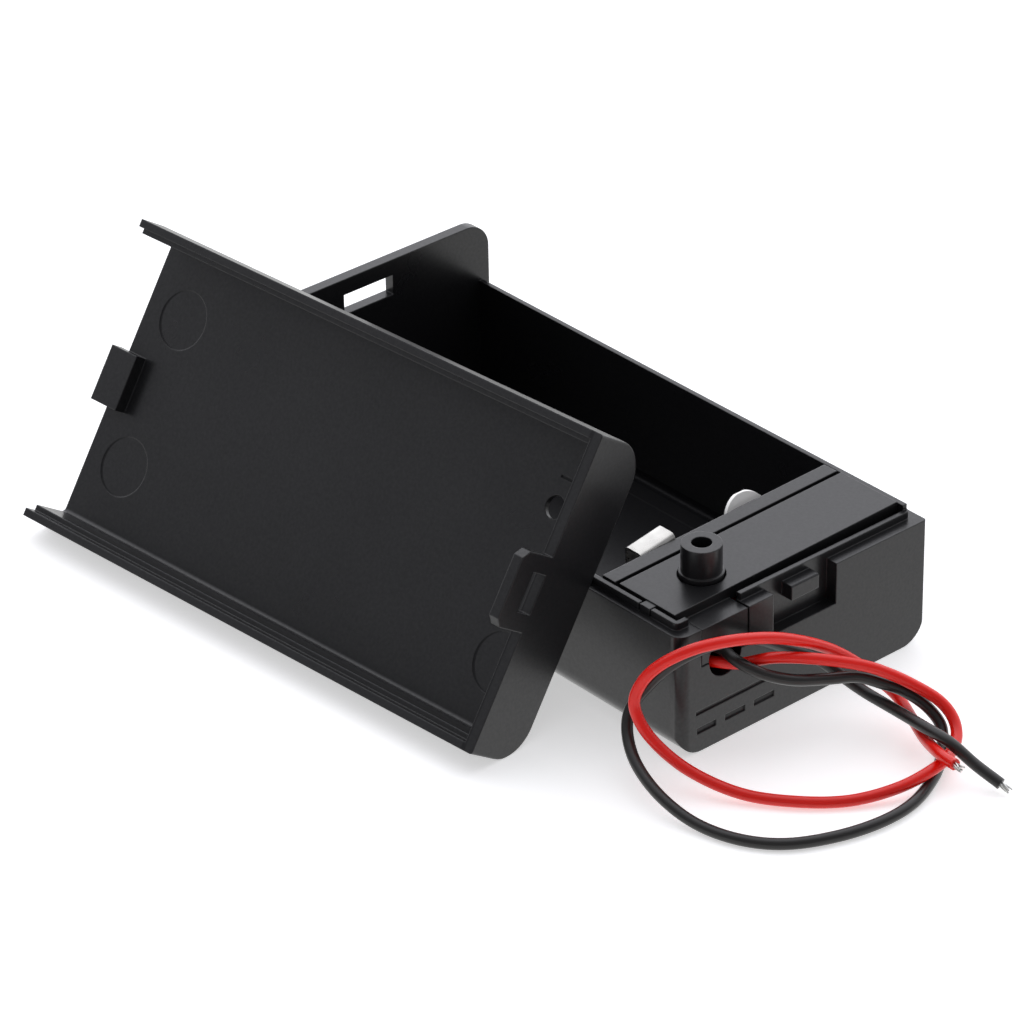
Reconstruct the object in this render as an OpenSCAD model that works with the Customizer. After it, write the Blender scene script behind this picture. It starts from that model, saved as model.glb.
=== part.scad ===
// Battery holder for one flat rectangular battery, with a slide switch and two leads.
// Millimetres, +Z up. Origin at the centre of the base's underside.
// +X points to the end with the switch and the leads, +Y to the wall away from the lid.

/* [Case] */
// Length of the base over its end faces
box_l = 68.5; // [66:0.5:74]
// Width of the base
box_w = 33.8; // [32:0.2:37]
// Height of the base up to the ledge that the lid meets
base_h = 14; // [13:0.2:17]
// Depth of the lid
lid_h = 7.4; // [7:0.1:9]
// Floor thickness
floor_t = 1.6; // [1.4:0.1:2.2]
// Lid plate thickness
lid_t = 1.6; // [1.2:0.1:2]
// Ledge outside the tongue, on the long sides
ledge = 0.9; // [0.8:0.05:1.2]
// Ledge outside the tongue, at the switch end
end_ledge = 1.4; // [1.3:0.05:1.6]
// Tongue thickness
tongue_t = 0.55; // [0.5:0.05:0.8]
// Tongue height above the ledge, at the switch end and on the lid's side
tongue_h = 0.8; // [0.6:0.05:1]
// Tongue height above the ledge, on the far side
far_h = 1.35; // [0.8:0.05:1.6]
// Thickness of the tall end plate
end_plate = 1.3; // [1.1:0.1:2]
// How far that plate stands above the closed lid
plate_rise = 0.9; // [0:0.1:1.2]
// Radius of that plate's upper corners
plate_r = 3; // [2:0.25:3.5]
// Radius along the bottom edges
edge_r = 3; // [2:0.25:3.5]
// Radius along the lid's long edges
lid_edge_r = 4; // [3:0.25:4.5]
// Radius of the upright corner beside the leads
corner_r = 1.4; // [1:0.1:2]
// Radius of the other upright corners at that end
end_r = 0.3; // [0.2:0.05:0.6]
// Fillet inside the lid
lid_inner_r = 0.5; // [0.3:0.05:1]
// Fillet between the floor and the long walls inside
inner_r = 0.5; // [0.3:0.1:1]
// Gap between the lid's lip and the tongue
lip_gap = 0.05; // [0.03:0.01:0.15]

/* [Latch and lid] */
// Width of the lid's snap tongue
snap_w = 8; // [7:0.2:10]
// Length of the snap tongue beyond the rim
snap_l = 4.4; // [4:0.1:4.8]
// Thickness of the snap tongue
snap_t = 1.2; // [1:0.05:1.3]
// Width of the catch
catch_w = 3.7; // [3:0.1:4.5]
// Height of the catch
catch_h = 1.65; // [1.2:0.05:1.8]
// Clearance round the catch and the snap tongue
snap_gap = 0.25; // [0.15:0.05:0.35]
// Width of the tab at the lid's open end
tab_w = 6.2; // [5:0.2:8]
// Height of that tab above the lid plate
tab_h = 1.5; // [1.2:0.1:1.8]
// Clearance round the tab in its slot
tab_gap = 0.2; // [0.1:0.05:0.4]
// Extra height of that slot, to tilt the lid in
tab_lift = 0.45; // [0.2:0.05:0.6]
// Clearance hole for the lid screw
lid_hole_d = 2.4; // [2.3:0.1:3]
// Angle of the leaning lid
lid_lean = 56; // [50:1:65]
// Angle of the leaning lid to the base, seen from above
lid_turn = 4.4; // [0:0.2:8]
// How far the lid lies beyond the tall end plate
lid_shift = 10; // [5:0.5:14]
// Gap between the leaning lid and the wall
lean_gap = 0.2; // [0.05:0.05:0.3]

/* [Compartment] */
// Length of the switch compartment
room_l = 9.25; // [9:0.05:10.4]
// Partition thickness
wall_t = 1.8; // [1.4:0.1:2.2]
// Height of the partition above the ledge
bar_h = 1.2; // [1:0.1:2]
// Cover thickness on the lid's side
cover_t = 1.2; // [1.1:0.1:1.6]
// Rise of the cover and the partition towards the far side
top_rise = 0.6; // [0:0.1:0.8]
// Gap round the cover
cover_gap = 0.5; // [0.3:0.05:0.6]
// Screw post, distance from the end face
post_in = 6.5; // [6:0.1:7]
// Screw post, distance from the middle
post_y = -7.95; // [-8.5:0.05:-7.5]
// Screw post diameter at its foot
post_d = 4.6; // [4.4:0.1:5]
// Screw post diameter at its top
post_top_d = 4.2; // [3.9:0.1:4.3]
// Bore of the post
post_bore = 2.1; // [1.8:0.1:2.3]
// Diameter of the wire outlet
outlet_d = 4.3; // [3.6:0.1:4.6]
// Distance of the wire outlet from the middle
outlet_y = -10.8; // [-11.2:0.1:-10.4]
// Height of the wire outlet
outlet_z = 9.7; // [9.3:0.1:10]

/* [Contacts] */
// Strip thickness
strip_t = 0.3; // [0.2:0.05:0.4]
// Width of the negative strip
neg_w = 4.5; // [4:0.1:5]
// Middle of the negative strip
neg_y = -7; // [-7.4:0.1:-6.6]
// Sideways lean of the negative strip
neg_lean = 9; // [0:1:12]
// Reach of the negative strip into the bay
neg_reach = 3.4; // [2.8:0.1:4]
// Height of the negative strip above its tail
neg_rise = 4.2; // [3.8:0.1:4.6]
// Drop of its free end below its tail
neg_drop = 7.4; // [6:0.2:8]
// Width of the positive strip
pos_w = 5.4; // [4.8:0.1:5.8]
// Middle of the positive strip
pos_y = 4.75; // [4.4:0.05:5]
// Reach of the positive strip into the bay
pos_reach = 3.5; // [2.8:0.1:4]
// Height of the positive strip above its tail
pos_rise = 7.25; // [6.5:0.05:7.6]
// Radius of its round end
pos_tip_r = 3.2; // [2.8:0.1:3.6]
// Width of the strips' tails
tail_w = 2.5; // [2:0.1:3]
// Length of the tails beyond the partition
tail_l = 2; // [1.6:0.1:2.2]

/* [Switch] */
// Middle of the switch
switch_y = 4.5; // [3.5:0.1:5]
// Travel of the slider
travel = 3; // [2:0.25:3]
// Length of the switch frame
frame_l = 11.5; // [11.2:0.1:12]
// Width of the switch frame
frame_w = 5.6; // [5.2:0.1:6]
// Height of the switch frame
frame_h = 4.8; // [4.6:0.1:5.2]
// Sheet thickness of the frame
sheet_t = 0.35; // [0.3:0.05:0.4]
// Spacing of the terminals
pitch = 3; // [2.5:0.1:3]
// Length of the knob
knob_l = 3.2; // [2.8:0.1:3.4]
// Width of the knob
knob_w = 2.6; // [2.4:0.1:2.8]
// Clearance of the slider
slide_gap = 0.15; // [0.1:0.05:0.2]

/* [Leads] */
// Diameter over the insulation
wire_d = 1.2; // [1:0.05:1.3]
// Diameter of the bare strands
strand_d = 0.7; // [0.5:0.05:0.8]
// Length of the bare strands
strand_l = 1; // [0.6:0.1:2]

/* [Hidden] */
$fn = 48;
eps = 0.05;
x0 = -box_l / 2;
x1 = box_l / 2;
side_t = ledge + tongue_t;
end_t = end_ledge + tongue_t;
in_w = box_w - 2 * side_t;
tall_h = base_h + lid_h;
plate_h = tall_h + plate_rise;
bay_x0 = x0 + end_plate;
room_x1 = x1 - end_t;
room_x0 = room_x1 - room_l;
bar_x0 = room_x0 - wall_t;
step_x = x1 - end_ledge;
rim_z = base_h + tongue_h;
cover_top = rim_z + 0.1;
cover_z = cover_top - cover_t;
cover_x0 = room_x0 + cover_gap;
cover_x1 = room_x1 - 1.5 * cover_gap;
cover_y0 = -in_w / 2 + 0.8 * cover_gap;
cover_y1 = in_w / 2 - 0.1;
post_x = x1 - post_in;
post_z = base_h + 1.5;
post_top = rim_z + 3.8;
notch_w = outlet_d + 2.1;
flap_gap = 0.15;
flap_top = base_h - 0.1;
lug_x = x1 - 6;
lug_w = 1.4;
bar_in = 0.25;

// Latch: the recess, the catch on it and the window that drops over the catch
recess_w = snap_w + 2.4 * snap_gap;
recess_z = base_h - snap_l - snap_gap;
catch_top = base_h - 0.1;
catch_edge = 0.15;
window_w = catch_w + 2 * snap_gap;
window_top = base_h - catch_top - 0.8 * snap_gap;
window_h = catch_h + 1.6 * snap_gap;

// Lid, in its own frame: along X from the open end, across Y, rim at Z 0, plate below
lid_gap = 0.2;
lid_l = box_l - end_plate - lid_gap;
lip_t = ledge - lip_gap;
step_h = tongue_h + lip_gap;
lid_end_t = end_ledge - 2 * lip_gap;
lid_in = lid_h - lid_t;
screw_u = lid_l - post_in;
screw_v = box_w / 2 - post_y;
tab_out = 1.2;
tab_in = 2.7;
sink_h = 1;
lid_z = lid_edge_r + (lid_h - lid_edge_r) * cos(lid_lean) - lid_edge_r * sin(lid_lean);
lean_y = (lid_h + lean_gap + cos(lid_lean) * (base_h - lid_z)) / sin(lid_lean);
lid_at = [x0 - lid_shift, -box_w / 2 - sin(lid_turn) * (lid_l - 0.5) - cos(lid_turn) * lean_y, lid_z];

// Tails of the contacts
neg_tail_z = base_h - 3;
neg_tail_y = neg_y - 0.95;
pos_tail_z = base_h - 5.5;

// Switch
switch_x = room_x0 + room_l / 2;
plate_z = floor_t + sheet_t;
frame_in = frame_w - 2 * sheet_t;
slider_l = frame_l - travel - 1.5;
slider_w = frame_in - 2 * slide_gap;
slider_z = plate_z + 0.1;
slider_h = 2.15;
slider_y = switch_y - travel / 2;
board_z = floor_t + frame_h - 1.4;
board_t = 1.2;
pad_t = 0.1;
crest_z = board_z - pad_t - 0.08;
window_y = knob_l + travel + 0.3;
ear_y = frame_l / 2 + 1.55;
peg_d = 1.4;
pin_w = 1.2;
pin_t = 0.4;
pin_h = pos_tail_z + 1 - board_z - board_t;
dish_h = 0.8;
knob_z = 0.25;

// Contact strips: middle lines in X and Z above the tail, from the partition round to the free end
leg_x = bar_x0 - 0.6 * strip_t;
neg_shape = [[0, -0.08], [0, 0.5], [0, 0.85], [0.04, 0.96], [0.13, 1], [0.35, 1], [0.56, 1], [0.65, 0.96],
    [0.69, 0.87], [0.76, 0.5], [0.88, 0], [0.97, -0.25], [1, -0.45], [0.9, -0.7], [0.68, -0.88], [0.42, -1]];
neg_line = [for (p = neg_shape) [leg_x - p[0] * neg_reach, p[1] * (p[1] < 0 ? neg_drop : neg_rise)]];
pos_shape = [[-0.35, -0.03], [-0.8, 0.03], [-1, 0.23], [-0.85, 0.44], [-0.4, 0.59], [-0.15, 0.67],
    [-0.16, 0.74], [-0.255, 0.83], [-0.44, 1]];
pos_line = concat([[switch_x - pin_t / 2, 0], [room_x0, 0], [bar_x0 + 0.15 * wall_t, 0]],
    [for (p = pos_shape) [bar_x0 + p[0] * pos_reach, p[1] * pos_rise]]);

// Lead routes from the outlet: X beyond the end face, Y from the outlet's middle, Z from the underside
red_route = [[-7.6, 11, 8.4], [-8.9, 9.2, 8], [-9.8, 4.8, 7.6], [-9.8, 0.9, 7.7], [-8.3, -1.7, 8.3],
    [-5.5, -2.6, 8.8], [-2.6, -1.7, 8.9], [-0.5, -0.4, 8.9], [1.3, 1, 9], [3.7, 3, 9.9],
    [6.5, 6, 9.8], [8.8, 9.9, 8.5], [10.3, 12.4, 7.1], [12.1, 14.4, 5.6], [13.9, 15.8, 4.2],
    [15.5, 16.1, 2.9], [17, 15.2, 1.9], [18.4, 13, 1.6], [19.7, 9.8, 2], [19.1, 5.4, 1.3],
    [16.9, 0.8, 0.7], [13.5, -3.2, 0.7], [9.2, -6.5, 1], [4.5, -9, 2.5], [0.8, -10.5, 5],
    [-1.3, -10.8, 7.7], [-1.2, -10.2, 10.1], [0.1, -8.9, 12.4], [2.1, -6.4, 14.1], [3.4, -2.6, 14.1],
    [4.2, 1.9, 12.9], [4.9, 5.7, 11.2], [5.4, 9.2, 9], [6.1, 12, 6.6], [7.3, 13.9, 4.4],
    [9.3, 14.7, 2.9], [12.3, 13.8, 2.1], [15.8, 12, 2.3], [19.5, 10.2, 3.2], [22.2, 9.6, 3.5]];
black_route = [[-10.1, 1.6, 11.8], [-9.8, 0.1, 11.7], [-8.8, -1.3, 11.4], [-7.1, -2, 11], [-4.9, -1.7, 10.7],
    [-2.6, -0.8, 10.5], [-0.3, -0.1, 10.3], [1.3, 0, 9.9], [2.8, 0.5, 9.4], [4.3, 1.7, 8.7],
    [6, 3.7, 8.1], [7.3, 6.8, 7.5], [8.5, 9.8, 7], [9.8, 12, 5.9], [11, 13.8, 4.8],
    [12.7, 15.1, 3.4], [14.5, 15.4, 2], [15.8, 14.5, 1], [17.3, 12.8, 0.6], [19.3, 9.8, 0.6],
    [21.1, 5.3, 0.6], [21.4, 0.8, 0.6], [20.3, -4.2, 0.6], [17.9, -8.8, 0.6], [14.3, -11.6, 0.6],
    [9.8, -13, 0.8], [5.3, -13.4, 1.8], [1.1, -12.7, 3.1], [-1.7, -11.4, 4.7], [-2.7, -10.1, 6.7],
    [-1.7, -8.8, 9.1], [0, -7.6, 11.6], [1.4, -5.6, 13.1], [2, -2.6, 13.2], [2, 1.8, 11.8],
    [2.1, 6.2, 8.9], [3, 8.9, 7.2], [4.3, 10.2, 6], [5.9, 10.9, 5], [8.1, 11.5, 4.2],
    [11.5, 12, 3.7], [15.9, 11.8, 3.8], [19.3, 11.8, 3.7], [22.1, 12.5, 2.2], [25, 13.2, 1]];
outlet = [x1, outlet_y, 0];
red_path = [for (p = red_route) p + outlet];
black_path = [for (p = black_route) p + outlet];

function unit(v) = v / norm(v);
function along(p, i) = unit(p[min(i + 1, len(p) - 1)] - p[max(i - 1, 0)]);
function beside(p, i) = i == 0 ? unit(cross([0, 0, 1], along(p, 0)))
    : let (n = beside(p, i - 1), t = along(p, i)) unit(n - (n * t) * t);

// A line in the plane smoothed through its points
function eased(a, b, c, d, t) = 0.5 * (2 * b + (c - a) * t + (2 * a - 5 * b + 4 * c - d) * t * t
    + (3 * b - a - 3 * c + d) * t * t * t);
function smooth(p, n) = concat([for (i = [0 : len(p) - 2]) for (k = [0 : n - 1])
    eased(p[max(i - 1, 0)], p[i], p[i + 1], p[min(i + 2, len(p) - 1)], k / n)], [p[len(p) - 1]]);
function turned(v) = [-v[1], v[0]];
function strip(p, t) = concat([for (i = [0 : len(p) - 1]) p[i] + turned(along(p, i)) * t / 2],
    [for (i = [len(p) - 1 : -1 : 0]) p[i] - turned(along(p, i)) * t / 2]);

// Solids made from a flat outline: across X from Y and Z, across Y from X and Z
module along_x(a, b) {
    translate([a, 0, 0]) rotate([90, 0, 90]) linear_extrude(b - a) children();
}

module along_y(a, b) {
    translate([0, b, 0]) rotate([90, 0, 0]) linear_extrude(b - a) children();
}

module block(a, b) {
    translate(a) cube(b - a);
}

// Upright outline of width w, from 0 to h, with rounded lower and upper corners
module outline(w, h, low, high) {
    translate([-w / 2, low]) square([w, h - low - high]);
    if (low > 0) {
        translate([low - w / 2, 0]) square([w - 2 * low, low]);
        for (s = [-1, 1]) translate([s * (w / 2 - low), low]) intersection() {
            circle(low);
            translate([-low, -low]) square([2 * low, low + eps]);
        }
    }
    if (high > 0) {
        translate([high - w / 2, h - high]) square([w - 2 * high, high]);
        for (s = [-1, 1]) translate([s * (w / 2 - high), h - high]) circle(high);
    }
}

// Plan outline from a to b along X, with its two corners at b rounded
module plan(a, b, w, low, high) {
    translate([a, low - w / 2]) square([b - a, w - low - high]);
    translate([a, -w / 2]) square([b - a - low, low + eps]);
    translate([a, w / 2 - high - eps]) square([b - a - high, high + eps]);
    translate([b - low, low - w / 2]) circle(low);
    translate([b - high, w / 2 - high]) circle(high);
}

module cavity(a, b) {
    along_x(a, b) translate([0, floor_t]) outline(in_w, tall_h, inner_r, 0);
}

module outer_shell() {
    intersection() {
        union() {
            along_x(x0, x1) outline(box_w, base_h, edge_r, 0);
            along_x(x0, bay_x0) outline(box_w, plate_h, edge_r, plate_r);
        }
        linear_extrude(plate_h + 1) plan(x0, x1, box_w, corner_r, end_r);
    }
}

module tongue() {
    translate([0, 0, base_h - 0.5]) linear_extrude(tongue_h + 0.5) difference() {
        plan(bay_x0 - eps, step_x, box_w - 2 * ledge, tongue_t, tongue_t);
        translate([bay_x0 - 1, -in_w / 2]) square([room_x1 - bay_x0 + 1, in_w]);
    }
    block([bay_x0 - eps, in_w / 2, base_h - 0.5], [step_x - tongue_t, in_w / 2 + tongue_t, base_h + far_h]);
}

// Partition, whose top is a little shorter than the bay is wide and rises towards the far side
module partition() {
    w = in_w / 2 - bar_in;
    block([bar_x0, -in_w / 2 - eps, floor_t], [room_x0, in_w / 2 + eps, base_h - 0.5]);
    along_x(bar_x0, room_x0) polygon([[-w, base_h - 1], [w, base_h - 1],
        [w, base_h + bar_h + top_rise / 2], [-w, base_h + bar_h - top_rise / 2]]);
}

module screw_post() {
    translate([post_x, post_y, floor_t - eps]) cylinder(d = post_d, h = post_z - floor_t + eps);
    translate([post_x, post_y, post_z - eps]) cylinder(d = post_top_d, h = post_top - post_z + eps);
}

module cover_pillars() {
    h = cover_z;
    for (y = [-in_w / 2 - eps, in_w / 2 - 1.5]) {
        block([room_x0 - eps, y, floor_t - eps], [room_x0 + 1.5, y + 1.5 + eps, h]);
    }
    block([room_x1 - 1.5, in_w / 2 - 1.5, floor_t - eps], [room_x1 + eps, in_w / 2 + eps, h]);
    block([room_x1 - 1.2, -6.2, floor_t - eps], [room_x1 + eps, -5, h]);
}

module base_tray() color([0.07, 0.07, 0.075]) difference() {
    union() {
        difference() {
            union() {
                difference() {
                    outer_shell();
                    cavity(bay_x0, bar_x0);
                    cavity(room_x0, room_x1);
                    block([bay_x0, -in_w / 2, base_h - 1], [room_x1, in_w / 2, base_h + 1]);
                }
                tongue();
            }
            block([step_x, -recess_w / 2, recess_z], [x1 + 1, recess_w / 2, tall_h]);
        }
        partition();
        screw_post();
        cover_pillars();
        for (s = [-1, 1]) translate([switch_x, switch_y + s * ear_y, floor_t - eps])
            cylinder(d = peg_d, h = 1.3);
        along_y(-catch_w / 2, catch_w / 2)
            polygon([[step_x - eps, catch_top - catch_h], [x1, catch_top - catch_h],
                [x1, catch_top - catch_edge], [x1 - catch_edge, catch_top], [step_x - eps, catch_top]]);
    }
    // Wire notch, the lower half of the outlet, and the gap in the tongue above them
    block([room_x1 - 1, outlet_y - notch_w / 2, outlet_z], [x1 + 1, outlet_y + notch_w / 2, tall_h]);
    along_x(room_x1 - 1, x1 + 1) translate([outlet_y, outlet_z]) circle(d = outlet_d);
    block([room_x1 - 1, outlet_y - notch_w / 2 - 0.4, base_h],
        [x1 + 1, outlet_y + notch_w / 2 + 0.1, tall_h]);
    // Seat of the cover's lug
    block([lug_x - lug_w / 2 - 0.2, -in_w / 2 - tongue_t - 1, base_h],
        [lug_x + lug_w / 2 + 0.2, -in_w / 2 + 1, tall_h]);
    // Bore of the screw post
    translate([post_x, post_y, post_top - 8]) cylinder(d = post_bore, h = 9);
    // Slot for the lid's tab
    block([x0 - 1, -tab_w / 2 - 1.5 * tab_gap, base_h + lid_in - tab_h - tab_gap],
        [bay_x0 + 1, tab_w / 2 + 1.5 * tab_gap, base_h + lid_in + tab_gap + tab_lift]);
    // Slots for the contacts' tails
    block([bar_x0 - 1, neg_tail_y - tail_w / 2 - 0.1, neg_tail_z - strip_t / 2 - 0.05],
        [room_x0 + 1, neg_tail_y + tail_w / 2 + 0.1, neg_tail_z + strip_t / 2 + 0.35]);
    block([bar_x0 - 1, pos_y - tail_w / 2 - 0.1, pos_tail_z - strip_t / 2 - 0.05],
        [room_x0 + 1, pos_y + tail_w / 2 + 0.1, pos_tail_z + strip_t / 2 + 0.35]);
    // Window of the switch knob and the dished finger recess under it
    block([switch_x - knob_w / 2 - 0.4, switch_y - window_y / 2 - 0.3, -1],
        [switch_x + knob_w / 2 + 0.4, switch_y + window_y / 2 + 0.3, floor_t + 0.5]);
    translate([0, 0, -1]) linear_extrude(1 + dish_h) union() {
        translate([switch_x - 3, switch_y - 3.5]) square([6, 7]);
        for (s = [-1, 1]) translate([switch_x, switch_y + s * 3.5]) circle(3);
    }
}

module compartment_cover() color([0.09, 0.09, 0.095]) difference() {
    flap_y0 = outlet_y - notch_w / 2 + flap_gap;
    flap_y1 = outlet_y + notch_w / 2 - flap_gap;
    union() {
        along_x(cover_x0, cover_x1) polygon([[cover_y0, cover_z], [cover_y1, cover_z],
            [cover_y1, cover_top + top_rise], [cover_y0, cover_top]]);
        // Flap over the wire notch, and the step down to it
        block([cover_x1 - 1.2, flap_y0, flap_top - 1.2], [room_x1 + 2 * flap_gap, flap_y1, flap_top]);
        block([room_x1 + flap_gap, flap_y0, outlet_z + flap_gap / 2], [x1 - flap_gap / 2, flap_y1, flap_top]);
        // Lug over the tongue
        block([lug_x - lug_w / 2, -in_w / 2 - tongue_t, base_h], [lug_x + lug_w / 2, cover_y0 + eps, rim_z]);
    }
    translate([post_x, post_y, cover_z - 1]) cylinder(d = post_d + 0.3, h = cover_t + top_rise + 2);
    along_x(cover_x1 - 2, x1 + 1) translate([outlet_y, outlet_z]) circle(d = outlet_d);
}

module lid_shape() {
    translate([0, box_w / 2, 0]) difference() {
        union() {
            difference() {
                intersection() {
                    along_x(0, lid_l) translate([0, -lid_h]) outline(box_w, lid_h, lid_edge_r, 0);
                    translate([0, 0, -lid_h - 1]) linear_extrude(lid_h + 2)
                        plan(0, lid_l, box_w, end_r, end_r);
                }
                along_x(-1, lid_l - lid_end_t) translate([0, -lid_in])
                    outline(in_w, lid_in + 1, lid_inner_r, 0);
                along_x(-1, lid_l - lid_end_t) translate([lip_t - box_w / 2, -step_h])
                    square([box_w - 2 * lip_t, step_h + 1]);
                along_x(-1, lid_l - lid_end_t) translate([lip_t - box_w / 2, -far_h - lip_gap])
                    square([side_t, far_h + 1]);
            }
            // Snap tongue on the end wall
            along_x(lid_l - snap_t, lid_l) polygon([[-snap_w / 2, -lid_in], [snap_w / 2, -lid_in],
                [snap_w / 2, snap_l - 0.8], [snap_w / 2 - 0.8, snap_l], [0.8 - snap_w / 2, snap_l],
                [-snap_w / 2, snap_l - 0.8]]);
            // Tab at the open end
            block([-tab_out, -tab_w / 2, -lid_in], [tab_in, tab_w / 2, tab_h - lid_in]);
            block([0, -tab_w / 2, -lid_in - eps], [tab_in, tab_w / 2, -lid_in]);
        }
        // Window over the catch
        block([lid_l - snap_t - 1, -window_w / 2, window_top],
            [lid_l + 1, window_w / 2, window_top + window_h]);
        // Countersunk screw hole
        translate([screw_u, screw_v - box_w / 2, -lid_h - 1]) cylinder(d = lid_hole_d, h = lid_t + 2);
        translate([screw_u, screw_v - box_w / 2, -lid_h - eps])
            cylinder(d1 = lid_hole_d + 2 * (sink_h + eps), d2 = lid_hole_d, h = sink_h + eps);
    }
}

module lid() color([0.08, 0.08, 0.085]) translate(lid_at) rotate([lid_lean, 0, lid_turn]) lid_shape();

module negative_contact() color([0.85, 0.84, 0.8]) {
    translate([0, neg_y, neg_tail_z]) rotate([neg_lean, 0, 0])
        along_y(-neg_w / 2, neg_w / 2) polygon(strip(smooth(neg_line, 4), strip_t));
    // The tail is narrower than the strip
    block([leg_x - strip_t / 2, neg_tail_y - tail_w / 2, neg_tail_z - strip_t / 2],
        [room_x0 + tail_l, neg_tail_y + tail_w / 2, neg_tail_z + strip_t / 2]);
}

module positive_contact() color([0.85, 0.84, 0.8]) translate([0, pos_y, pos_tail_z]) difference() {
    intersection() {
        along_y(-pos_w / 2, pos_w / 2) polygon(strip(smooth(pos_line, 4), strip_t));
        along_x(bar_x0 - 2 * pos_reach, room_x1) union() {
            translate([-pos_w / 2, -pos_rise]) square([pos_w, 2 * pos_rise - pos_tip_r]);
            translate([0, pos_rise - pos_tip_r]) circle(pos_tip_r);
        }
    }
    for (s = [-1, 1]) block([bar_x0 - eps, s > 0 ? tail_w / 2 : -pos_w, -2 * strip_t],
        [room_x1, s > 0 ? pos_w : -tail_w / 2, 2 * strip_t]);
}

module switch_frame() color([0.75, 0.75, 0.74]) difference() {
    union() {
        block([switch_x - frame_w / 2, switch_y - frame_l / 2, floor_t],
            [switch_x + frame_w / 2, switch_y + frame_l / 2, plate_z]);
        block([switch_x - 1.9, switch_y - ear_y - 0.9, floor_t],
            [switch_x + 1.9, switch_y + ear_y + 0.9, plate_z]);
        for (s = [-1, 1])
            translate([switch_x + s * (frame_in + sheet_t) / 2, switch_y, floor_t + frame_h / 2])
                cube([sheet_t, frame_l, frame_h], center = true);
        // Tabs bent over the board
        for (s = [-1, 1]) for (e = [-1, 1])
            translate([switch_x + s * (frame_in / 2 - 0.3) - 0.35, switch_y + e * 4 - 0.8, board_z + board_t])
                cube([0.7, 1.6, floor_t + frame_h - board_z - board_t]);
    }
    block([switch_x - knob_w / 2 - slide_gap, switch_y - window_y / 2, 0],
        [switch_x + knob_w / 2 + slide_gap, switch_y + window_y / 2, 3]);
    for (s = [-1, 1]) translate([switch_x, switch_y + s * ear_y, 0]) cylinder(d = peg_d + 0.1, h = 4);
}

module pin(y) {
    translate([switch_x - pin_t / 2, y - pin_w / 2, board_z - eps])
        cube([pin_t, pin_w, board_t + pin_h + eps]);
}

module terminal(y) {
    pin(y);
    translate([switch_x - 0.4, y - 0.9, board_z + board_t]) cube([0.8, 1.8, 0.4]);
    translate([switch_x - 0.8, y - 1.2, board_z - pad_t]) cube([1.6, 2.4, pad_t]);
}

module switch_board() color([0.45, 0.25, 0.12]) difference() {
    block([switch_x - frame_in / 2, switch_y - frame_l / 2 + 0.1, board_z],
        [switch_x + frame_in / 2, switch_y + frame_l / 2 - 0.1, board_z + board_t]);
    for (k = [-1 : 1]) translate([0, k * pitch, 0]) pin(switch_y);
}

module switch_terminal_supply() color([0.8, 0.8, 0.78]) terminal(switch_y - pitch);

module switch_terminal_common() color([0.8, 0.8, 0.78]) terminal(switch_y);

module switch_terminal_spare() color([0.8, 0.8, 0.78]) terminal(switch_y + pitch);

module switch_slider() color([0.06, 0.06, 0.06]) difference() {
    union() {
        block([switch_x - slider_w / 2, slider_y - slider_l / 2, slider_z],
            [switch_x + slider_w / 2, slider_y + slider_l / 2, slider_z + slider_h]);
        block([switch_x - knob_w / 2, slider_y - knob_l / 2, knob_z],
            [switch_x + knob_w / 2, slider_y + knob_l / 2, slider_z + eps]);
    }
    // Pocket of the wiper
    block([switch_x - 1.1, slider_y - 2.6, slider_z + 0.8],
        [switch_x + 1.1, slider_y + 2.6, slider_z + slider_h + 1]);
    // Grip grooves across the knob
    for (k = [-1 : 1]) block([switch_x - 3, slider_y + k * 0.9 - 0.2, -1],
        [switch_x + 3, slider_y + k * 0.9 + 0.2, knob_z + 0.35]);
}

module switch_wiper() color([0.85, 0.7, 0.35]) {
    z = slider_z + 0.91;
    line = [[-2.5, z + 0.7], [-2.2, z + 1.2], [-1.5, crest_z - 0.1], [-0.9, z + 0.9], [-0.65, z + 0.3],
        [-0.4, z + 0.03], [0, z], [0.4, z + 0.03], [0.65, z + 0.3], [0.9, z + 0.9], [1.5, crest_z - 0.1],
        [2.2, z + 1.2], [2.5, z + 0.7]];
    along_x(switch_x - 1, switch_x + 1) translate([slider_y, 0]) polygon(strip(smooth(line, 3), 0.2));
}

// Insulated lead swept along its route
module lead(p, r) {
    n = len(p);
    polyhedron(
        points = [for (i = [0 : n - 1]) let (t = along(p, i), a = beside(p, i), b = cross(t, a))
            for (k = [0 : 7]) p[i] + r * (cos(45 * k) * a + sin(45 * k) * b)],
        faces = concat(
            [[for (k = [0 : 7]) k]],
            [[for (k = [7 : -1 : 0]) (n - 1) * 8 + k]],
            [for (i = [0 : n - 2]) for (k = [0 : 7]) [i * 8 + k, i * 8 + 8 + k, i * 8 + 8 + (k + 1) % 8]],
            [for (i = [0 : n - 2]) for (k = [0 : 7])
                [i * 8 + k, i * 8 + 8 + (k + 1) % 8, i * 8 + (k + 1) % 8]]));
}

// Bare strands out of a lead's free end
module strands(p) {
    t = along(p, len(p) - 1);
    translate(p[len(p) - 1]) rotate([0, acos(t[2]), atan2(t[1], t[0])])
        cylinder(d = strand_d, h = strand_l, $fn = 24);
}

module red_lead() color([0.75, 0.08, 0.08]) lead(red_path, wire_d / 2);

module black_lead() color([0.05, 0.05, 0.05]) lead(black_path, wire_d / 2);

module red_lead_strands() color([0.8, 0.8, 0.78]) strands(red_path);

module black_lead_strands() color([0.8, 0.8, 0.78]) strands(black_path);

module solder_supply() color([0.7, 0.7, 0.7]) difference() {
    translate([switch_x - 0.5, switch_y - pitch - 0.6, red_path[0][2]]) sphere(1.2);
    pin(switch_y - pitch);
    lead(red_path, wire_d / 2);
}

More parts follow.
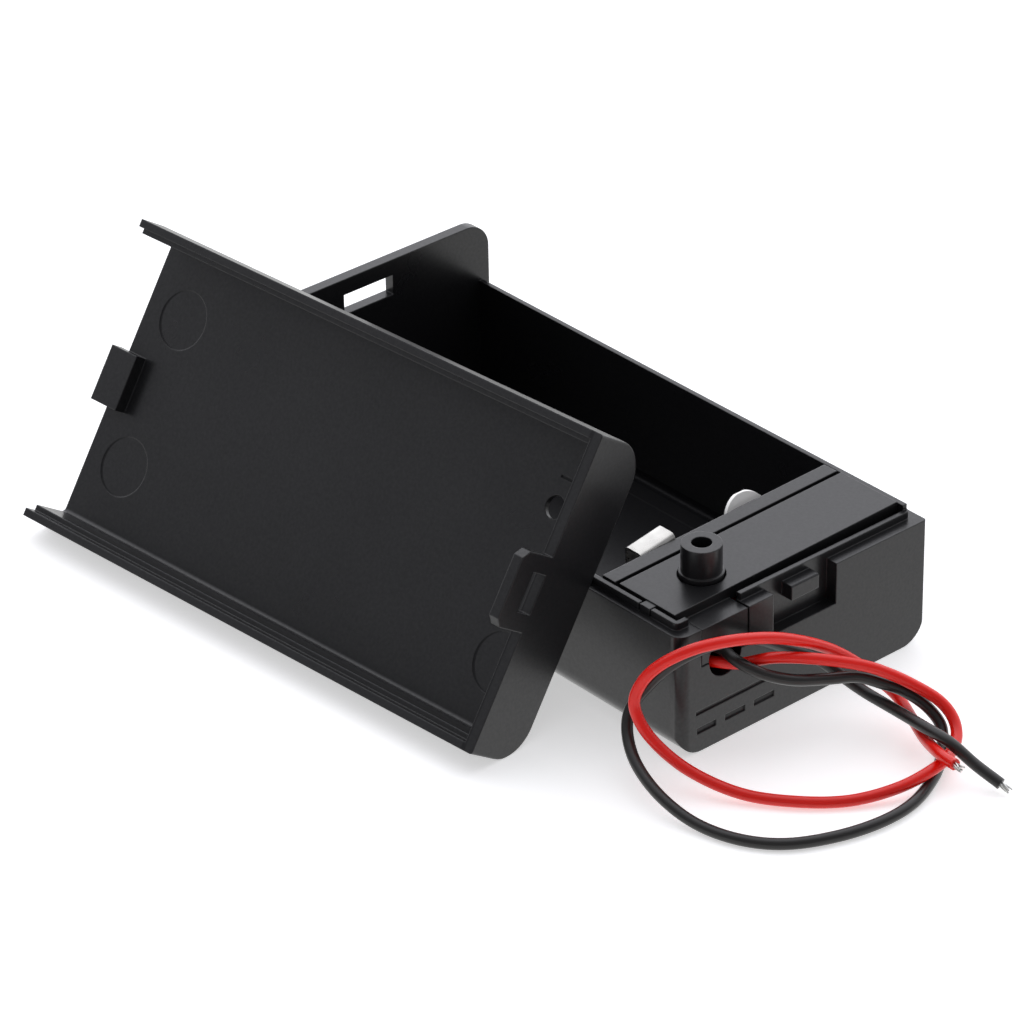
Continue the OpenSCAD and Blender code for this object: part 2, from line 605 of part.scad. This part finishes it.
module solder_common() color([0.7, 0.7, 0.7]) difference() {
    translate([switch_x - 0.7, switch_y + 0.2, pos_tail_z + strip_t / 2]) cylinder(r1 = 0.9, r2 = 0.5, h = 1);
    pin(switch_y);
}

module solder_negative() color([0.7, 0.7, 0.7]) difference() {
    translate([room_x0 + tail_l / 2, black_path[0][1] + 0.6, neg_tail_z + strip_t / 2 + 0.4]) sphere(0.9);
    block([room_x0, neg_tail_y - tail_w, neg_tail_z - 2],
        [room_x1, neg_tail_y + tail_w, neg_tail_z + strip_t / 2]);
    lead(black_path, wire_d / 2);
}

base_tray();
compartment_cover();
lid();
negative_contact();
positive_contact();
switch_frame();
switch_board();
switch_terminal_supply();
switch_terminal_common();
switch_terminal_spare();
switch_slider();
switch_wiper();
solder_supply();
solder_common();
solder_negative();
red_lead();
black_lead();
red_lead_strands();
black_lead_strands();
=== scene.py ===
import math

import bmesh
import bpy
from mathutils import Euler, Matrix, Vector


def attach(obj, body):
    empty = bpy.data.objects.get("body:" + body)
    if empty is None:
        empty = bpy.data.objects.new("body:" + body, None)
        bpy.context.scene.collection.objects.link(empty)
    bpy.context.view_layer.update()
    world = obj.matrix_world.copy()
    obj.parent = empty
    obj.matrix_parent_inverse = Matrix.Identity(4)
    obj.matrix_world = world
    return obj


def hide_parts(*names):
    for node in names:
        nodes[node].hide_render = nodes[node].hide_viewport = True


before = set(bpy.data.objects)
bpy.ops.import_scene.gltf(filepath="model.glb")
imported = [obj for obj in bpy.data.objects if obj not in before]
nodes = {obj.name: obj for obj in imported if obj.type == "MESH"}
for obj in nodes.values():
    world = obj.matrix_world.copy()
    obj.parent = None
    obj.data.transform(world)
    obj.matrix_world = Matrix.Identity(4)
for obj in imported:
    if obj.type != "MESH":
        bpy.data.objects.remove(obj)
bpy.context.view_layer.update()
scene = bpy.context.scene

# Sizes and places are in millimetres and angles in degrees, unless a name or a comment says otherwise
MM = 0.001


# Camera, at the photograph's angle

AZIMUTH, ELEVATION, ROLL = 49.48, 30.79, -1.086
TARGET = Vector((-10.075, 0, 2.253))
DISTANCE = 520.18
LENS, SENSOR = 173.06, 36
CLIP_METRES = (0.01, 20)


def make_camera():
    azimuth, elevation, roll = (math.radians(angle) for angle in (AZIMUTH, ELEVATION, ROLL))
    level = math.cos(elevation)
    back = Vector((math.sin(azimuth) * level, -math.cos(azimuth) * level, math.sin(elevation)))
    right = Vector((math.cos(azimuth), math.sin(azimuth), 0))
    up = back.cross(right)
    turned_right = right * math.cos(roll) + up * math.sin(roll)
    turned_up = up * math.cos(roll) - right * math.sin(roll)
    data = bpy.data.cameras.new("camera")
    data.sensor_width = SENSOR
    data.lens = LENS
    data.clip_start, data.clip_end = CLIP_METRES
    camera = bpy.data.objects.new("camera", data)
    scene.collection.objects.link(camera)
    turn = Matrix((turned_right, turned_up, back)).transposed().to_4x4()
    camera.matrix_world = Matrix.Translation(TARGET * MM + back * DISTANCE * MM) @ turn
    scene.camera = camera


make_camera()


# Leads, from the same route points as the CAD

END_X = 34.25
OUTLET = Vector((END_X, -10.8, 0))
RED_ROUTE = [
    (-7.6, 11, 8.4), (-8.9, 9.2, 8), (-9.8, 4.8, 7.6), (-9.8, 0.9, 7.7), (-8.3, -1.7, 8.3),
    (-5.5, -2.6, 8.8), (-2.6, -1.7, 8.9), (-0.5, -0.4, 8.9), (1.3, 1, 9), (3.7, 3, 9.9),
    (6.5, 6, 9.8), (8.8, 9.9, 8.5), (10.3, 12.4, 7.1), (12.1, 14.4, 5.6), (13.9, 15.8, 4.2),
    (15.5, 16.1, 2.9), (17, 15.2, 1.9), (18.4, 13, 1.6), (19.7, 9.8, 2), (19.1, 5.4, 1.3),
    (16.9, 0.8, 0.7), (13.5, -3.2, 0.7), (9.2, -6.5, 1), (4.5, -9, 2.5), (0.8, -10.5, 5),
    (-1.3, -10.8, 7.7), (-1.2, -10.2, 10.1), (0.1, -8.9, 12.4), (2.1, -6.4, 14.1), (3.4, -2.6, 14.1),
    (4.2, 1.9, 12.9), (4.9, 5.7, 11.2), (5.4, 9.2, 9), (6.1, 12, 6.6), (7.3, 13.9, 4.4),
    (9.3, 14.7, 2.9), (12.3, 13.8, 2.1), (15.8, 12, 2.3), (19.5, 10.2, 3.2), (22.2, 9.6, 3.5)]
BLACK_ROUTE = [
    (-10.1, 1.6, 11.8), (-9.8, 0.1, 11.7), (-8.8, -1.3, 11.4), (-7.1, -2, 11), (-4.9, -1.7, 10.7),
    (-2.6, -0.8, 10.5), (-0.3, -0.1, 10.3), (1.3, 0, 9.9), (2.8, 0.5, 9.4), (4.3, 1.7, 8.7),
    (6, 3.7, 8.1), (7.3, 6.8, 7.5), (8.5, 9.8, 7), (9.8, 12, 5.9), (11, 13.8, 4.8),
    (12.7, 15.1, 3.4), (14.5, 15.4, 2), (15.8, 14.5, 1), (17.3, 12.8, 0.6), (19.3, 9.8, 0.6),
    (21.1, 5.3, 0.6), (21.4, 0.8, 0.6), (20.3, -4.2, 0.6), (17.9, -8.8, 0.6), (14.3, -11.6, 0.6),
    (9.8, -13, 0.8), (5.3, -13.4, 1.8), (1.1, -12.7, 3.1), (-1.7, -11.4, 4.7), (-2.7, -10.1, 6.7),
    (-1.7, -8.8, 9.1), (0, -7.6, 11.6), (1.4, -5.6, 13.1), (2, -2.6, 13.2), (2, 1.8, 11.8),
    (2.1, 6.2, 8.9), (3, 8.9, 7.2), (4.3, 10.2, 6), (5.9, 10.9, 5), (8.1, 11.5, 4.2),
    (11.5, 12, 3.7), (15.9, 11.8, 3.8), (19.3, 11.8, 3.7), (22.1, 12.5, 2.2), (25, 13.2, 1)]
STEPS = 8
WIRE_D, WIRE_SIDES = 1.2, 4

# Bare wires of a lead's end: one in the middle and the others in a ring, which twists and opens a little
STRANDS, STRAND_D, STRAND_SIDES = 7, 0.2, 2
STRAND_POINTS, STRAND_STEP, STRAND_UNEVEN = 9, 0.17, 0.015
STRAND_SUNK = 0.5
RING_R, RING_OPENING = 0.22, 0.02
RING_TWIST_RADIANS = 0.16


def eased(points):
    """A smooth line through the points, in metres."""
    p = [(Vector(q) + OUTLET) * MM for q in points]
    p = [2 * p[0] - p[1], *p, 2 * p[-1] - p[-2]]
    line = []
    for a, b, c, d in zip(p, p[1:], p[2:], p[3:]):
        square = 2 * a - 5 * b + 4 * c - d
        cube = 3 * b - a - 3 * c + d
        for k in range(STEPS):
            t = k / STEPS
            line.append(0.5 * (2 * b + (c - a) * t + square * t ** 2 + cube * t ** 3))
    line.append(p[-2])
    return line


def tube(name, lines, diameter, sides):
    """Round tubes along lines in metres. The radius is on the points, so that the object's box is right."""
    data = bpy.data.curves.new(name, "CURVE")
    data.dimensions = "3D"
    data.bevel_depth = 1
    data.bevel_resolution = sides
    data.use_fill_caps = True
    for line in lines:
        spline = data.splines.new("POLY")
        spline.points.add(len(line) - 1)
        for point, place in zip(spline.points, line):
            point.co = (*place, 1)
            point.radius = diameter / 2 * MM
        spline.use_smooth = True
    obj = bpy.data.objects.new(name, data)
    scene.collection.objects.link(obj)
    return obj


def strands(name, line):
    """A short twist of bare wires out of a lead's end, each with a length and an opening of its own."""
    end = line[-1]
    out = (line[-1] - line[-3]).normalized()
    side = out.cross(Vector((0, 0, 1))).normalized()
    over = out.cross(side)
    wires = []
    for k in range(STRANDS):
        ring = 0.0 if k == 0 else RING_R * MM
        opening = RING_OPENING * ((k * 7) % 5)
        step = STRAND_STEP + STRAND_UNEVEN * ((k * 5) % 4)
        wire = []
        for s in range(STRAND_POINTS):
            angle = 2 * math.pi * k / (STRANDS - 1) + RING_TWIST_RADIANS * s
            away = (side * math.cos(angle) + over * math.sin(angle)) * ring * (1 + opening * s)
            wire.append(end + out * (s * step - STRAND_SUNK) * MM + away)
        wires.append(wire)
    return tube(name, wires, STRAND_D, STRAND_SIDES)


stand_ins = {}
for colour, route in (("red", RED_ROUTE), ("black", BLACK_ROUTE)):
    line = eased(route)
    lead = tube(colour + "_lead_tube", [line], WIRE_D, WIRE_SIDES)
    tip = strands(colour + "_lead_tip", line)
    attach(lead, "holder")
    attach(tip, "holder")
    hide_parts(colour + "_lead")
    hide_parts(colour + "_lead_strands")
    stand_ins[colour + "_lead"] = lead
    stand_ins[colour + "_lead_strands"] = tip


# Moulded pieces with their sunk marks

# The direct-current sign in the base's end face, a line over three dashes: middles and half sizes in y and z
SIGN_LINE = ((-9.4, 4.58), (5.3, 0.23))
SIGN_DASHES = (
    ((-13.27, 2.46), (1.28, 0.35)),
    ((-9.42, 2.46), (1.35, 0.35)),
    ((-5.48, 2.46), (1.37, 0.35)))
SIGN_DEPTH, SIGN_TAPER = 0.18, 0.04

# The leaning lid's own axes, as in the CAD, and along them the end wall's inner edge and the inner face
LID_AT = Vector((-44.25, -38.819, 2.585))
LID_TURN = (56, 0, 4.4)
LID_END, LID_FACE = 65.7, -5.8

# Ejector marks and a nick in the lid's inner face
DISCS = ((5.5, 25.44), (5.5, 8.66), (61.43, 8.4))
DISC_R, DISC_DEPTH, DISC_SIDES = 3.24, 0.04, 64
NICK = ((60.65, 27.92), (0.85, 0.13))
NICK_DEPTH = 0.1

# Points nearer than this become one, and edges past this angle stay sharp
WELD = 0.0001
SHARP = 30


def bar_rings(middle, half, depth, taper=0.0):
    """The two rings of a bar that narrows by its taper towards its bottom, with its mouth at height 0."""
    return [[(middle[0] + a * (half[0] + t), middle[1] + b * (half[1] + t), h)
             for a, b in ((-1, -1), (1, -1), (1, 1), (-1, 1))]
            for h, t in ((-depth, -taper), (depth, taper))]


def disc_rings(middle, radius, depth):
    """The two rings of a round block with its mouth at height 0."""
    turns = [2 * math.pi * k / DISC_SIDES for k in range(DISC_SIDES)]
    return [[(middle[0] + radius * math.cos(t), middle[1] + radius * math.sin(t), h) for t in turns]
            for h in (-depth, depth)]


def add_block(solid, rings, place):
    """A prism between two rings of corners, put in place."""
    low, high = ([solid.verts.new(place @ (Vector(c) * MM)) for c in ring] for ring in rings)
    solid.faces.new(low[::-1])
    solid.faces.new(high)
    for k in range(len(low)):
        n = (k + 1) % len(low)
        solid.faces.new((low[k], low[n], high[n], high[k]))


def cut_mesh(node, blocks, place):
    """A copy of a node's mesh with the blocks cut out of it."""
    piece = bpy.data.objects.new("uncut", node.data.copy())
    cutter = bpy.data.objects.new("cutter", bpy.data.meshes.new("cutter"))
    solid = bmesh.new()
    solid.from_mesh(piece.data)
    bmesh.ops.remove_doubles(solid, verts=solid.verts, dist=WELD * MM)
    solid.to_mesh(piece.data)
    solid.clear()
    for rings in blocks:
        add_block(solid, rings, place)
    solid.to_mesh(cutter.data)
    solid.free()
    scene.collection.objects.link(piece)
    scene.collection.objects.link(cutter)
    cut = piece.modifiers.new("marks", "BOOLEAN")
    cut.operation, cut.solver, cut.object = "DIFFERENCE", "EXACT", cutter
    seen = piece.evaluated_get(bpy.context.evaluated_depsgraph_get())
    mesh = bpy.data.meshes.new_from_object(seen)
    bpy.data.objects.remove(piece)
    bpy.data.objects.remove(cutter)
    return mesh


def marked(node, blocks, place):
    """A moulded piece with sunk marks, which stands for its node."""
    mesh = cut_mesh(node, blocks, place)
    if "custom_normal" in mesh.attributes:
        mesh.attributes.remove(mesh.attributes["custom_normal"])
    mesh.shade_smooth()
    mesh.set_sharp_from_angle(angle=math.radians(SHARP))
    piece = bpy.data.objects.new(node.name + "_marked", mesh)
    scene.collection.objects.link(piece)
    even = piece.modifiers.new("even", "WEIGHTED_NORMAL")
    even.keep_sharp = True
    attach(piece, "holder")
    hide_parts(node.name)
    stand_ins[node.name] = piece


def mark_base():
    sign = [bar_rings(*mark, SIGN_DEPTH, SIGN_TAPER) for mark in (SIGN_LINE, *SIGN_DASHES)]
    on_end = Matrix(((0, 0, 1, END_X * MM), (1, 0, 0, 0), (0, 1, 0, 0), (0, 0, 0, 1)))
    marked(nodes["base_tray"], sign, on_end)


def mark_lid():
    discs = [disc_rings(middle, DISC_R, DISC_DEPTH) for middle in DISCS]
    turn = Euler([math.radians(angle) for angle in LID_TURN]).to_matrix().to_4x4()
    on_face = Matrix.Translation(LID_AT * MM) @ turn @ Matrix.Translation((0, 0, LID_FACE * MM))
    marked(nodes["lid"], [*discs, bar_rings(*NICK, NICK_DEPTH)], on_face)


mark_base()
mark_lid()


# Shader nodes that the finishes share

def math_node(tree, operation, a, b=0.0):
    """The result of an operation on two values, each a socket or a number."""
    node = tree.nodes.new("ShaderNodeMath")
    node.operation = operation
    for socket, value in zip(node.inputs, (a, b)):
        if isinstance(value, bpy.types.NodeSocket):
            tree.links.new(value, socket)
        else:
            socket.default_value = value
    return node.outputs[0]


def folded(tree, operation, *values):
    """Several values taken together by one operation."""
    total = values[0]
    for value in values[1:]:
        total = math_node(tree, operation, total, value)
    return total


def spread(tree, value, low, high):
    """A value between 0 and 1, spread from low to high."""
    node = tree.nodes.new("ShaderNodeMapRange")
    node.inputs["To Min"].default_value = low
    node.inputs["To Max"].default_value = high
    tree.links.new(value, node.inputs["Value"])
    return node.outputs["Result"]


def noise(tree, place, scale, detail):
    """Noise from 0 to 1 at a place."""
    node = tree.nodes.new("ShaderNodeTexNoise")
    node.inputs["Scale"].default_value = scale
    node.inputs["Detail"].default_value = detail
    tree.links.new(place, node.inputs["Vector"])
    return node.outputs["Fac"]


def axes(tree, place):
    """The three coordinates of a place."""
    node = tree.nodes.new("ShaderNodeSeparateXYZ")
    tree.links.new(place, node.inputs[0])
    return node.outputs


# Masks for the painted shade in the finishes, each 1 inside and 0 outside, with a soft edge

EDGE = 0.1
DASH_EDGE = 0.12
FACE_EDGE = 0.02


def inside(tree, distance, edge):
    """1 where the distance is negative and 0 where it is positive."""
    node = tree.nodes.new("ShaderNodeMapRange")
    node.interpolation_type = "SMOOTHSTEP"
    node.inputs["From Min"].default_value = -edge * MM
    node.inputs["From Max"].default_value = edge * MM
    node.inputs["To Min"].default_value = 1
    node.inputs["To Max"].default_value = 0
    tree.links.new(distance, node.inputs["Value"])
    return node.outputs["Result"]


def past(tree, value, middle, half):
    """How far a coordinate is past the ends of a span."""
    away = math_node(tree, "ABSOLUTE", math_node(tree, "SUBTRACT", value, middle * MM))
    return math_node(tree, "SUBTRACT", away, half * MM)


def band(tree, value, middle, half, edge=EDGE):
    """A span of one coordinate."""
    return inside(tree, past(tree, value, middle, half), edge)


def bar(tree, a, b, middle, half, edge=EDGE):
    """A straight mark in two coordinates."""
    reach = [past(tree, *span) for span in zip((a, b), middle, half)]
    return inside(tree, math_node(tree, "MAXIMUM", *reach), edge)


def disc(tree, a, b, middle, radius):
    """A round mark in two coordinates."""
    away = [math_node(tree, "SUBTRACT", value, m * MM) for value, m in zip((a, b), middle)]
    square = [math_node(tree, "POWER", value, 2.0) for value in away]
    out = math_node(tree, "SQRT", math_node(tree, "ADD", *square))
    return inside(tree, math_node(tree, "SUBTRACT", out, radius * MM), EDGE)


def lessened(tree, share, mark):
    """What is left of 1 where a mark takes a share of it."""
    return math_node(tree, "SUBTRACT", 1.0, math_node(tree, "MULTIPLY", mark, share))


# The bay's floor in plan and height, which takes painted shade, and the places of a fine line, a painted
# highlight line, and of the wall's foot, painted shade in the corner, on both sides of it
BAY_MIDDLE, BAY_HALF = (-7.35, 0), (25.6, 15.6)
BAY_Z, BAY_Z_HALF = 1.9, 0.7
LINE_Y, LINE_HALF = 12.5, 0.12
FOOT_Y, FOOT_HALF = 15, 0.45

# Shares of the gloss that the painted shade takes: in the sunk sign, on the bay's floor, at the feet of its
# walls, on the round marks' rims and in the nick, and on the lid's end wall's inner edge
SIGN_SHADE, BAY_FLOOR_SHADE, FOOT_SHADE = 0.45, 0.68, 0.65
RIM_SHADE, CORNER_SHADE = 0.6, 0.42
# The part of the sign's painted shade that its line takes, and of the floor's painted shade that a fine line
# gives back as a painted highlight line
SIGN_LINE_PART, LINE_PART = 0.3, 0.8

# A round mark's painted shade, a dark crescent on one side of its rim, is what the same disc, moved by this
# much, leaves of it
RIM_SHIFT = (0.26, 0.09)
# How far from the lid's inner face and from the end wall's inner edge the painted shade reaches
FACE_REACH = 0.3
CORNER_HALF = (0.25, 0.25)


def tray_painted_shade(tree, place):
    """What is left of the gloss under painted shade in the sunk sign, on the bay's floor and at the feet of
    its walls, with a fine line left lighter as a painted highlight.
    """
    x, y, z = axes(tree, place)
    line = math_node(tree, "MULTIPLY", bar(tree, y, z, *SIGN_LINE), SIGN_LINE_PART)
    dashes = [bar(tree, y, z, *dash, DASH_EDGE) for dash in SIGN_DASHES]
    at_end = math_node(tree, "GREATER_THAN", x, (END_X - 2 * SIGN_DEPTH) * MM)
    sign = math_node(tree, "MULTIPLY", folded(tree, "MAXIMUM", line, *dashes), at_end)
    height = band(tree, z, BAY_Z, BAY_Z_HALF)
    floor = math_node(tree, "MULTIPLY", bar(tree, x, y, BAY_MIDDLE, BAY_HALF), height)
    across = math_node(tree, "ABSOLUTE", y)
    plain = lessened(tree, LINE_PART, band(tree, across, LINE_Y, LINE_HALF))
    foot = band(tree, across, FOOT_Y, FOOT_HALF)
    return folded(tree, "MULTIPLY",
                  lessened(tree, SIGN_SHADE, sign),
                  lessened(tree, BAY_FLOOR_SHADE, math_node(tree, "MULTIPLY", floor, plain)),
                  lessened(tree, FOOT_SHADE, math_node(tree, "MULTIPLY", floor, foot)))


def lid_painted_shade(tree, place):
    """What is left of the gloss under painted shade on one side of the round marks' rims, in the nick and on
    the end wall's inner edge.
    """
    flat = tree.nodes.new("ShaderNodeMapping")
    flat.vector_type = "TEXTURE"
    flat.inputs["Location"].default_value = LID_AT * MM
    flat.inputs["Rotation"].default_value = [math.radians(angle) for angle in LID_TURN]
    tree.links.new(place, flat.inputs["Vector"])
    u, v, w = axes(tree, flat.outputs["Vector"])
    shifted = [[m + shift for m, shift in zip(middle, RIM_SHIFT)] for middle in DISCS]
    rounds, inner = (folded(tree, "MAXIMUM", *[disc(tree, u, v, middle, DISC_R) for middle in middles])
                     for middles in (DISCS, shifted))
    rims = math_node(tree, "MAXIMUM", math_node(tree, "SUBTRACT", rounds, inner), bar(tree, u, v, *NICK))
    on_face = math_node(tree, "MULTIPLY", rims, band(tree, w, LID_FACE, FACE_REACH, FACE_EDGE))
    corner = bar(tree, u, w, (LID_END, 0), CORNER_HALF)
    return folded(tree, "MULTIPLY",
                  lessened(tree, RIM_SHADE, on_face),
                  lessened(tree, CORNER_SHADE, corner))


# Finishes

PATCH_DETAIL, SPECKLE_DETAIL, GRAIN_DETAIL = 3, 3, 2
GLOSS_SPREAD = 0.05
SPECKLE_SIZE = 0.35
GRAIN_HEIGHT = 0.02
EDGE_SAMPLES = 6


def tinted(tree, fac, colour, mottle):
    """A colour that is a little darker and lighter in patches."""
    node = tree.nodes.new("ShaderNodeMix")
    node.data_type = "RGBA"
    node.inputs["A"].default_value = (*[c * (1 - mottle) for c in colour], 1)
    node.inputs["B"].default_value = (*[c * (1 + mottle) for c in colour], 1)
    tree.links.new(fac, node.inputs["Factor"])
    return node.outputs["Result"]


def rounded(tree, radius):
    """The normal of a surface with slightly round edges."""
    node = tree.nodes.new("ShaderNodeBevel")
    node.samples = EDGE_SAMPLES
    node.inputs["Radius"].default_value = radius * MM
    return node.outputs["Normal"]


def grained(tree, place, normal, strength, size, streak):
    """The normal of a surface with a fine grain, which a streak under 1 draws out along y."""
    stretch = tree.nodes.new("ShaderNodeMapping")
    stretch.inputs["Scale"].default_value = (1, streak, 1)
    tree.links.new(place, stretch.inputs["Vector"])
    height = noise(tree, stretch.outputs["Vector"], 1 / (size * MM), GRAIN_DETAIL)
    node = tree.nodes.new("ShaderNodeBump")
    node.inputs["Strength"].default_value = strength
    node.inputs["Distance"].default_value = GRAIN_HEIGHT * MM
    tree.links.new(height, node.inputs["Height"])
    if normal:
        tree.links.new(normal, node.inputs["Normal"])
    return node.outputs["Normal"]


def material(name, colour, roughness, metallic=0.0, mottle=0.15, patch=90, grain=0.2, grain_size=0.12,
             streak=1.0, edge=0.0, speckle=0.0, marks=None, specular=0.5):
    """A finish with slightly uneven colour and gloss, a fine moulded or rolled grain, and softened edges."""
    finish = bpy.data.materials.new(name)
    finish.use_nodes = True
    tree = finish.node_tree
    shader = tree.nodes["Principled BSDF"]
    shader.inputs["Metallic"].default_value = metallic
    shader.inputs["Specular IOR Level"].default_value = specular
    place = tree.nodes.new("ShaderNodeTexCoord").outputs["Object"]
    patches = noise(tree, place, patch, PATCH_DETAIL)
    gloss = spread(tree, patches, roughness - GLOSS_SPREAD, roughness + GLOSS_SPREAD)
    tree.links.new(tinted(tree, patches, colour, mottle), shader.inputs["Base Color"])
    tree.links.new(gloss, shader.inputs["Roughness"])
    shine = specular
    if speckle:
        spots = noise(tree, place, 1 / (SPECKLE_SIZE * MM), SPECKLE_DETAIL)
        shine = math_node(tree, "MULTIPLY", spread(tree, spots, 1 - speckle, 1 + speckle), shine)
    # The marks give painted shade, which takes a share of the specular level
    if marks:
        shine = math_node(tree, "MULTIPLY", marks(tree, place), shine)
    if speckle or marks:
        tree.links.new(shine, shader.inputs["Specular IOR Level"])
    normal = rounded(tree, edge) if edge else None
    normal = grained(tree, place, normal, grain, grain_size, streak)
    tree.links.new(normal, shader.inputs["Normal"])
    return finish


BLACK = (0.011, 0.011, 0.012)
MOULDED = {"edge": 0.18, "speckle": 0.25}
ROLLED = {"streak": 0.1}
INSULATION = {"grain": 0.1, "grain_size": 0.3}

case = material("case_black", BLACK, 0.29, marks=tray_painted_shade, **MOULDED)
shell = material("lid_black", BLACK, 0.29, marks=lid_painted_shade, **MOULDED)
cover = material("cover_black", (0.012, 0.012, 0.013), 0.3, edge=0.15, speckle=0.2)
nickel = material("contact_nickel", (0.6, 0.59, 0.56), 0.28, metallic=0.8, mottle=0.35, patch=500, **ROLLED)
leaf = material("leaf_nickel", (0.93, 0.92, 0.89), 0.5, metallic=0.5, mottle=0.06, patch=500, grain=0.3,
                **ROLLED)
steel = material("switch_steel", (0.62, 0.62, 0.6), 0.3, metallic=1.0, **ROLLED)
board = material("board_brown", (0.2, 0.09, 0.04), 0.5, grain=0.3)
tin = material("tinned_metal", (0.7, 0.7, 0.68), 0.32, metallic=1.0, grain=0.3)
knob = material("slider_black", (0.013, 0.013, 0.013), 0.4, grain=0.3, edge=0.1)
brass = material("wiper_brass", (0.75, 0.56, 0.25), 0.25, metallic=1.0, **ROLLED)
red = material("insulation_red", (0.88, 0.009, 0.003), 0.3, mottle=0.05, **INSULATION)
black = material("insulation_black", (0.016, 0.0148, 0.014), 0.34, mottle=0.1, **INSULATION)

FINISH = {
    "base_tray": case, "lid": shell, "compartment_cover": cover,
    "negative_contact": nickel, "positive_contact": leaf,
    "switch_frame": steel, "switch_board": board, "switch_slider": knob, "switch_wiper": brass,
    "switch_terminal_supply": tin, "switch_terminal_common": tin, "switch_terminal_spare": tin,
    "solder_supply": tin, "solder_common": tin, "solder_negative": tin,
    "red_lead": red, "black_lead": black, "red_lead_strands": tin, "black_lead_strands": tin}


def paint(obj, finish):
    obj.data.materials.clear()
    obj.data.materials.append(finish)


for name, finish in FINISH.items():
    paint(nodes[name], finish)
    if name in stand_ins:
        paint(stand_ins[name], finish)


# Floor, just under the base, and light

FLOOR_HALF_METRES = 2
FLOOR_Z = -0.05
FLOOR_GREY = 0.9
FLOOR_ROUGHNESS = 0.9
FLOOR_SPECULAR = 0.1
FLOOR_GLOW, FLOOR_GLOW_SEEN = 0.3, 0.5

# The light comes from behind the object, opposite the camera, and fades with the angle away from there
LIGHT_FROM = Vector((-0.653, 0.558, 0.512))
LIGHT_COLOUR = (0.975, 0.98, 1.03)
LIGHT_LOW, LIGHT_HIGH = 0.3, 1.7
LIGHT_FULL_COSINE = 0.9
BACKGROUND = 1.1
WHITE = (1, 1, 1, 1)


def floor_finish():
    """White that glows a little, more so to the camera, and is plain white in reflections."""
    finish = bpy.data.materials.new("floor_white")
    finish.use_nodes = True
    tree = finish.node_tree
    shader = tree.nodes["Principled BSDF"]
    shader.inputs["Base Color"].default_value = (FLOOR_GREY, FLOOR_GREY, FLOOR_GREY, 1)
    shader.inputs["Roughness"].default_value = FLOOR_ROUGHNESS
    shader.inputs["Specular IOR Level"].default_value = FLOOR_SPECULAR
    shader.inputs["Emission Color"].default_value = WHITE
    ray = tree.nodes.new("ShaderNodeLightPath")
    glow = spread(tree, ray.outputs["Is Camera Ray"], FLOOR_GLOW, FLOOR_GLOW_SEEN)
    tree.links.new(glow, shader.inputs["Emission Strength"])
    white = tree.nodes.new("ShaderNodeEmission")
    white.inputs["Color"].default_value = WHITE
    mirrored = tree.nodes.new("ShaderNodeMixShader")
    parts = (ray.outputs["Is Glossy Ray"], shader.outputs[0], white.outputs[0])
    for part, socket in zip(parts, mirrored.inputs):
        tree.links.new(part, socket)
    tree.links.new(mirrored.outputs[0], tree.nodes["Material Output"].inputs["Surface"])
    return finish


def make_floor():
    mesh = bpy.data.meshes.new("floor")
    corners = [(a * FLOOR_HALF_METRES, b * FLOOR_HALF_METRES, FLOOR_Z * MM)
               for a, b in ((-1, -1), (1, -1), (1, 1), (-1, 1))]
    mesh.from_pydata(corners, [], [(0, 1, 2, 3)])
    mesh.materials.append(floor_finish())
    floor = bpy.data.objects.new("floor", mesh)
    scene.collection.objects.link(floor)


def make_world():
    world = bpy.data.worlds.new("studio")
    scene.world = world
    world.use_nodes = True
    tree = world.node_tree
    sky = tree.nodes["Background"]
    sky.inputs["Color"].default_value = (*LIGHT_COLOUR, 1)
    place = tree.nodes.new("ShaderNodeTexCoord")
    facing = tree.nodes.new("ShaderNodeVectorMath")
    facing.operation = "DOT_PRODUCT"
    facing.inputs[1].default_value = LIGHT_FROM.normalized()
    tree.links.new(place.outputs["Generated"], facing.inputs[0])
    level = tree.nodes.new("ShaderNodeMapRange")
    level.interpolation_type = "SMOOTHSTEP"
    level.inputs["From Max"].default_value = LIGHT_FULL_COSINE
    level.inputs["To Min"].default_value = LIGHT_LOW
    level.inputs["To Max"].default_value = LIGHT_HIGH
    tree.links.new(facing.outputs["Value"], level.inputs["Value"])
    ray = tree.nodes.new("ShaderNodeLightPath")
    pick = tree.nodes.new("ShaderNodeMix")
    pick.data_type = "FLOAT"
    pick.inputs["B"].default_value = BACKGROUND
    tree.links.new(ray.outputs["Is Camera Ray"], pick.inputs["Factor"])
    tree.links.new(level.outputs["Result"], pick.inputs["A"])
    tree.links.new(pick.outputs["Result"], sky.inputs["Strength"])


make_floor()
make_world()
scene.view_settings.view_transform = "Standard"
